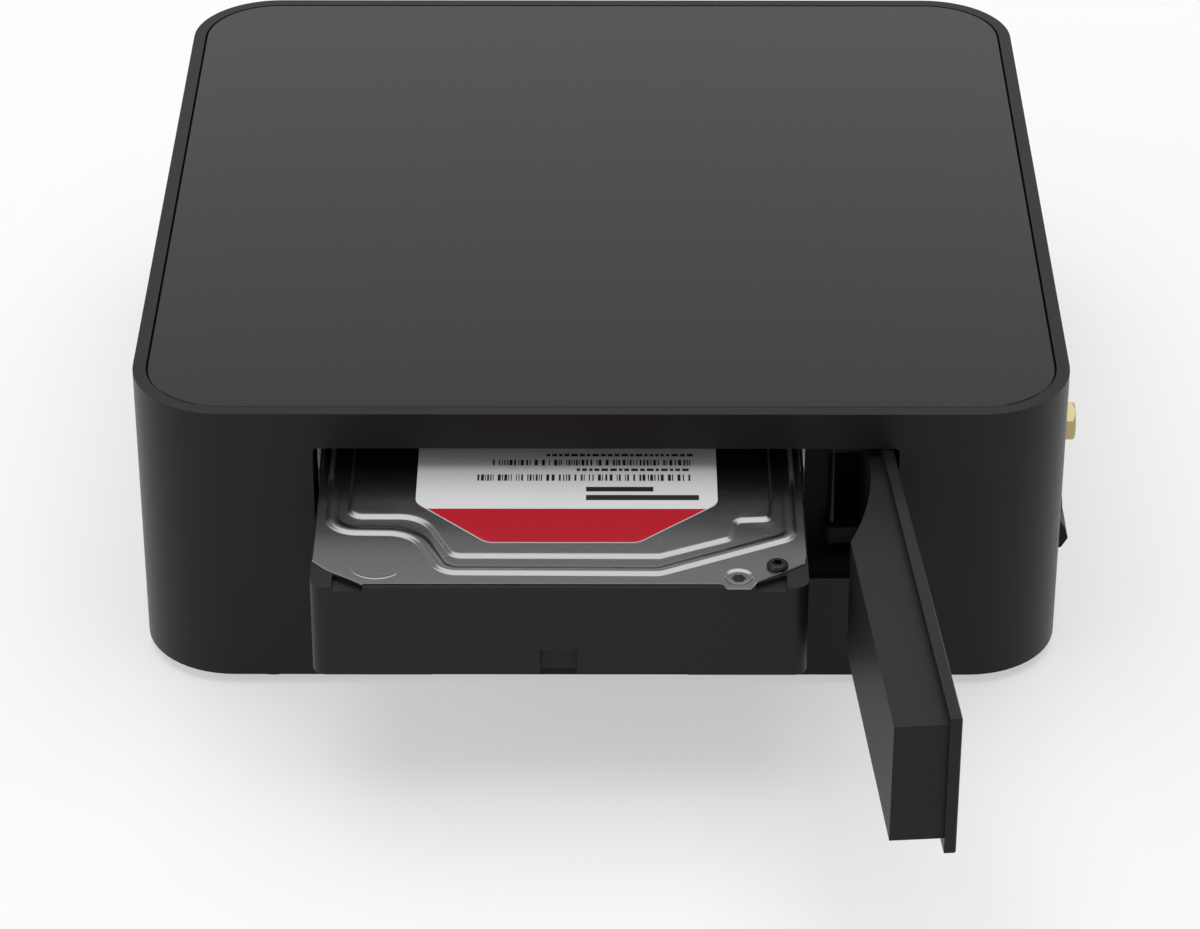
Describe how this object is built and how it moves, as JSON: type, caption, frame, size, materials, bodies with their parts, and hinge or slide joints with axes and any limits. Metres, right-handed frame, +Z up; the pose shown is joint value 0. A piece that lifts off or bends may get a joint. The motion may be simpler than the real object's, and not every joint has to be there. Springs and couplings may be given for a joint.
{
  "type": "media player with hard drive tray",
  "caption": "Square media player box with a side bay: the door stands open on its pin and a full-size hard drive slides out on rails.",
  "frame": {"origin": "centre of the whole part's footprint at rest, door open and drive part out, on the plane of the feet", "axes": "+Z up, -Y out of the drive bay, -X out of the display side, +X out of the socket side"},
  "size_m": [0.2078, 0.2982, 0.0685],
  "materials": {
    "black_metal": "satin",
    "soft_black": "matte",
    "black_plastic": "matte",
    "door_finish": "satin",
    "smoked_glass": "gloss",
    "circuit_board": "satin",
    "steel": "satin",
    "black_screws": "satin",
    "brass": "satin",
    "white_plastic": "satin",
    "cast_black": "satin",
    "bright_alloy": "satin",
    "disc_mirror": "polished",
    "label_print": "matte"
  },
  "bodies": {
    "housing": {"housing_shell": "black_metal", "top_panel": "black_metal", "bottom_cover": "black_metal", "cover_screws": "steel", "rubber_feet": "soft_black", "display_window": "smoked_glass", "front_board": "circuit_board", "display_module": "black_plastic", "ir_receiver": "black_plastic", "button_switch": "black_plastic", "main_board": "circuit_board", "board_screws": "steel", "board_chips": "black_plastic", "heatsink": "bright_alloy", "power_jack": "black_plastic", "network_socket": "black_plastic", "usb_sockets": "steel", "video_socket": "steel", "av_housing": "black_plastic", "av_jacks": "brass", "antenna_jack": "brass", "antenna_insulator": "white_plastic", "antenna_contact": "brass", "rocker_frame": "black_plastic", "fan_frame": "black_plastic", "bay_frame": "black_plastic", "hinge_pin": "steel", "bay_board": "circuit_board", "bay_board_screws": "steel", "bay_socket": "black_plastic"},
    "door": {"door_plate": "door_finish", "door_block": "black_plastic"},
    "drive": {"drive_base": "cast_black", "drive_cover": "bright_alloy", "drive_screws": "black_screws", "drive_label": "label_print", "drive_board": "circuit_board", "drive_chips": "black_plastic", "drive_connector": "black_plastic", "spindle_motor": "steel", "arm_pivot": "steel", "coil_magnets": "steel"},
    "disc_pack": {"spindle_hub": "bright_alloy", "disc_spacers": "bright_alloy", "platters": "disc_mirror", "disc_clamp": "steel"},
    "drive_arm": {"head_arm": "bright_alloy"},
    "fan_wheel": {"fan_rotor": "black_plastic"},
    "front_button": {"power_button": "black_plastic"},
    "switch_key": {"rocker": "black_plastic"}
  },
  "joints": [
    {"name": "door_hinge", "type": "hinge", "parent": "housing", "child": "door", "pos_m": [0.04665, -0.03993, 0.0438], "axis": [0, 0, 1], "range_deg": [-6, 3]},
    {"name": "drive_slide", "type": "slide", "parent": "housing", "child": "drive", "axis": [0, -1, 0], "range_m": [-0.06, 0.105]},
    {"name": "platter_spin", "type": "hinge", "parent": "drive", "child": "disc_pack", "pos_m": [-0.0115, -0.04243, 0.04], "axis": [0, 0, 1], "continuous": true},
    {"name": "head_arm_swing", "type": "hinge", "parent": "drive", "child": "drive_arm", "pos_m": [0.0175, 0.01907, 0.0424], "axis": [0, 0, -1], "range_deg": [0, 29.8]},
    {"name": "fan_spin", "type": "hinge", "parent": "housing", "child": "fan_wheel", "pos_m": [-0.0115, 0.14127, 0.034], "axis": [0, 1, 0], "continuous": true},
    {"name": "power_button_press", "type": "slide", "parent": "housing", "child": "front_button", "axis": [1, 0, 0], "range_m": [0, 0.0012], "stiffness_N_per_m": 800},
    {"name": "rocker_tilt", "type": "hinge", "parent": "housing", "child": "switch_key", "pos_m": [0.0929, -0.01793, 0.0243], "axis": [0, 1, 0], "range_deg": [0, 20]}
  ]
}
